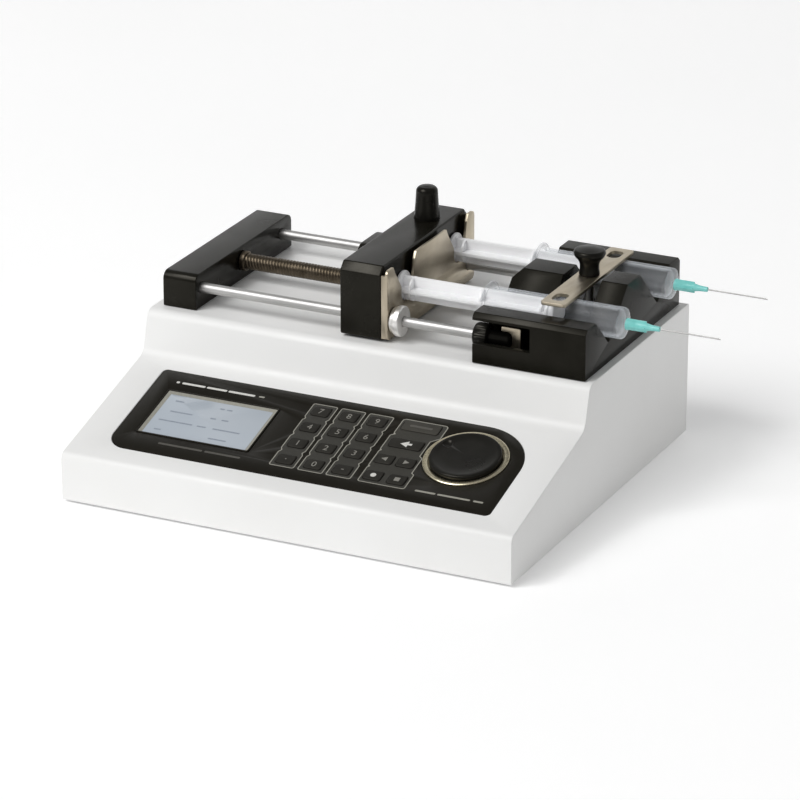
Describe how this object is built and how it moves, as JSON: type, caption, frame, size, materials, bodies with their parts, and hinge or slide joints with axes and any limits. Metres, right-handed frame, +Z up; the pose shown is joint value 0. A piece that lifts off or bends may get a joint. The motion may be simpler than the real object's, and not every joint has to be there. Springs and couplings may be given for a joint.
{
  "type": "syringe pump",
  "caption": "Bench syringe pump with a sloping control panel, a screw-driven carriage on guide rods and clamped syringes lying in a grooved holder.",
  "frame": {"origin": "under the middle of the whole object, on the surface that its feet stand on", "axes": "+X along the syringes towards the needles, +Y from the control panel to the back, +Z up"},
  "size_m": [0.3434, 0.25, 0.1468],
  "materials": {
    "white_shell": "smooth satin white",
    "zinc_plate": "plain sheet",
    "black_plastic": "satin black",
    "panel_black": "smooth black film",
    "key_grey": "soft dark grey",
    "display_glass": "glossy pale window",
    "circuit_board": "green lacquer",
    "ring_metal": "champagne satin",
    "supply_case": "plain sheet case",
    "motor_case": "black and bare steel",
    "aluminium_pulley": "turned",
    "black_rubber": "matt",
    "screw_steel": "dark oiled steel",
    "black_blocks": "gloss black",
    "polished_steel": "polished",
    "nut_brass": "machined",
    "brushed_plate": "brushed",
    "clear_plastic": "clear",
    "white_plunger": "translucent white",
    "needle_hub": "translucent teal"
  },
  "bodies": {
    "housing": {"housing_shell": "white_shell", "base_plate": "zinc_plate", "rear_panel": "zinc_plate", "power_entry": "black_plastic", "foot_front_left": "black_rubber", "foot_front_right": "black_rubber", "foot_back_left": "black_rubber", "foot_back_right": "black_rubber", "front_overlay": "panel_black", "display_window": "display_glass", "control_board": "circuit_board", "dial_ring": "ring_metal", "power_supply": "supply_case", "motor_bracket": "zinc_plate", "stepper_motor": "motor_case", "drive_belt": "black_rubber", "end_block": "black_blocks", "guide_rod_front": "polished_steel", "guide_rod_back": "polished_steel", "holder_block": "black_blocks", "rod_plate": "brushed_plate", "clamp_post": "polished_steel", "barrel_front": "clear_plastic", "barrel_back": "clear_plastic", "needle_front": "needle_hub", "needle_back": "needle_hub"},
    "carriage": {"carriage": "black_blocks", "plunger_plate": "brushed_plate", "clutch_spring": "polished_steel", "plunger_front": "white_plunger", "plunger_back": "white_plunger"},
    "clutch": {"clutch_knob": "black_plastic", "half_nut": "nut_brass"},
    "screw": {"lead_screw": "screw_steel", "screw_pulley": "aluminium_pulley"},
    "motor_rotor": {"motor_pulley": "aluminium_pulley"},
    "dial": {"dial_knob": "panel_black"},
    "power_rocker": {"switch_rocker": "black_plastic"},
    "clamp_bar": {"clamp_strip": "brushed_plate"},
    "clamp_nut": {"clamp_knob": "black_plastic"},
    "collar": {"stop_collar": "polished_steel"},
    "thumb_nut": {"rod_nut": "black_plastic"},
    "key_1_1_cap": {"key_1_1": "key_grey"},
    "key_1_2_cap": {"key_1_2": "key_grey"},
    "key_1_3_cap": {"key_1_3": "key_grey"},
    "key_1_4_cap": {"key_1_4": "key_grey"},
    "key_2_1_cap": {"key_2_1": "key_grey"},
    "key_2_2_cap": {"key_2_2": "key_grey"},
    "key_2_3_cap": {"key_2_3": "key_grey"},
    "key_2_4_cap": {"key_2_4": "key_grey"},
    "key_3_1_cap": {"key_3_1": "key_grey"},
    "key_3_2_cap": {"key_3_2": "key_grey"},
    "key_3_3_cap": {"key_3_3": "key_grey"},
    "key_3_4_cap": {"key_3_4": "key_grey"},
    "key_wide_cap": {"key_wide": "key_grey"},
    "key_arrow_cap": {"key_arrow": "key_grey"},
    "key_4_3_cap": {"key_4_3": "key_grey"},
    "key_5_3_cap": {"key_5_3": "key_grey"},
    "key_4_4_cap": {"key_4_4": "key_grey"},
    "key_5_4_cap": {"key_5_4": "key_grey"}
  },
  "joints": [
    {"name": "carriage_slide", "type": "slide", "parent": "housing", "child": "carriage", "axis": [1, 0, 0], "range_m": [-0.04, 0]},
    {"name": "screw_turn", "type": "hinge", "parent": "housing", "child": "screw", "pos_m": [-0.15165, 0.048, 0.0935], "axis": [1, 0, 0], "continuous": true},
    {"name": "motor_turn", "type": "hinge", "parent": "housing", "child": "motor_rotor", "pos_m": [-0.15165, 0.048, 0.0455], "axis": [1, 0, 0], "continuous": true},
    {"name": "clutch_press", "type": "slide", "parent": "carriage", "child": "clutch", "axis": [0, 0, -1], "range_m": [0, 0.0025], "stiffness_N_per_m": 900, "springref_m": -0.004, "deforming": ["clutch_spring"]},
    {"name": "dial_turn", "type": "hinge", "parent": "housing", "child": "dial", "pos_m": [0.05465, -0.06814, 0.04533], "axis": [0, -0.2667, 0.9638], "continuous": true},
    {"name": "rocker_tilt", "type": "hinge", "parent": "housing", "child": "power_rocker", "pos_m": [0.07835, 0.1186, 0.0415], "axis": [1, 0, 0], "range_deg": [-16, 0]},
    {"name": "clamp_lift", "type": "slide", "parent": "housing", "child": "clamp_bar", "axis": [0, 0, 1], "range_m": [0, 0.006]},
    {"name": "clamp_turn", "type": "hinge", "parent": "clamp_bar", "child": "clamp_nut", "pos_m": [0.07635, 0.051, 0.1215], "axis": [0, 0, 1], "continuous": true},
    {"name": "collar_slide", "type": "slide", "parent": "housing", "child": "collar", "axis": [1, 0, 0], "range_m": [0, 0.044]},
    {"name": "thumb_nut_turn", "type": "hinge", "parent": "housing", "child": "thumb_nut", "pos_m": [0.03835, -0.003, 0.0935], "axis": [1, 0, 0], "continuous": true},
    {"name": "press_key_1_1", "type": "slide", "parent": "housing", "child": "key_1_1_cap", "axis": [0, 0.2667, -0.9638], "range_m": [0, 0.0006], "stiffness_N_per_m": 1500, "springref_m": -0.0004},
    {"name": "press_key_1_2", "type": "slide", "parent": "housing", "child": "key_1_2_cap", "axis": [0, 0.2667, -0.9638], "range_m": [0, 0.0006], "stiffness_N_per_m": 1500, "springref_m": -0.0004},
    {"name": "press_key_1_3", "type": "slide", "parent": "housing", "child": "key_1_3_cap", "axis": [0, 0.2667, -0.9638], "range_m": [0, 0.0006], "stiffness_N_per_m": 1500, "springref_m": -0.0004},
    {"name": "press_key_1_4", "type": "slide", "parent": "housing", "child": "key_1_4_cap", "axis": [0, 0.2667, -0.9638], "range_m": [0, 0.0006], "stiffness_N_per_m": 1500, "springref_m": -0.0004},
    {"name": "press_key_2_1", "type": "slide", "parent": "housing", "child": "key_2_1_cap", "axis": [0, 0.2667, -0.9638], "range_m": [0, 0.0006], "stiffness_N_per_m": 1500, "springref_m": -0.0004},
    {"name": "press_key_2_2", "type": "slide", "parent": "housing", "child": "key_2_2_cap", "axis": [0, 0.2667, -0.9638], "range_m": [0, 0.0006], "stiffness_N_per_m": 1500, "springref_m": -0.0004},
    {"name": "press_key_2_3", "type": "slide", "parent": "housing", "child": "key_2_3_cap", "axis": [0, 0.2667, -0.9638], "range_m": [0, 0.0006], "stiffness_N_per_m": 1500, "springref_m": -0.0004},
    {"name": "press_key_2_4", "type": "slide", "parent": "housing", "child": "key_2_4_cap", "axis": [0, 0.2667, -0.9638], "range_m": [0, 0.0006], "stiffness_N_per_m": 1500, "springref_m": -0.0004},
    {"name": "press_key_3_1", "type": "slide", "parent": "housing", "child": "key_3_1_cap", "axis": [0, 0.2667, -0.9638], "range_m": [0, 0.0006], "stiffness_N_per_m": 1500, "springref_m": -0.0004},
    {"name": "press_key_3_2", "type": "slide", "parent": "housing", "child": "key_3_2_cap", "axis": [0, 0.2667, -0.9638], "range_m": [0, 0.0006], "stiffness_N_per_m": 1500, "springref_m": -0.0004},
    {"name": "press_key_3_3", "type": "slide", "parent": "housing", "child": "key_3_3_cap", "axis": [0, 0.2667, -0.9638], "range_m": [0, 0.0006], "stiffness_N_per_m": 1500, "springref_m": -0.0004},
    {"name": "press_key_3_4", "type": "slide", "parent": "housing", "child": "key_3_4_cap", "axis": [0, 0.2667, -0.9638], "range_m": [0, 0.0006], "stiffness_N_per_m": 1500, "springref_m": -0.0004},
    {"name": "press_key_wide", "type": "slide", "parent": "housing", "child": "key_wide_cap", "axis": [0, 0.2667, -0.9638], "range_m": [0, 0.0006], "stiffness_N_per_m": 1500, "springref_m": -0.0004},
    {"name": "press_key_arrow", "type": "slide", "parent": "housing", "child": "key_arrow_cap", "axis": [0, 0.2667, -0.9638], "range_m": [0, 0.0006], "stiffness_N_per_m": 1500, "springref_m": -0.0004},
    {"name": "press_key_4_3", "type": "slide", "parent": "housing", "child": "key_4_3_cap", "axis": [0, 0.2667, -0.9638], "range_m": [0, 0.0006], "stiffness_N_per_m": 1500, "springref_m": -0.0004},
    {"name": "press_key_5_3", "type": "slide", "parent": "housing", "child": "key_5_3_cap", "axis": [0, 0.2667, -0.9638], "range_m": [0, 0.0006], "stiffness_N_per_m": 1500, "springref_m": -0.0004},
    {"name": "press_key_4_4", "type": "slide", "parent": "housing", "child": "key_4_4_cap", "axis": [0, 0.2667, -0.9638], "range_m": [0, 0.0006], "stiffness_N_per_m": 1500, "springref_m": -0.0004},
    {"name": "press_key_5_4", "type": "slide", "parent": "housing", "child": "key_5_4_cap", "axis": [0, 0.2667, -0.9638], "range_m": [0, 0.0006], "stiffness_N_per_m": 1500, "springref_m": -0.0004}
  ],
  "couplings": [
    {"joint": "screw_turn", "follows": "carriage_slide", "rad_per_m": 1570.8},
    {"joint": "motor_turn", "follows": "carriage_slide", "rad_per_m": 1570.8},
    {"joint": "clamp_turn", "follows": "clamp_lift", "rad_per_m": 6283.2}
  ]
}
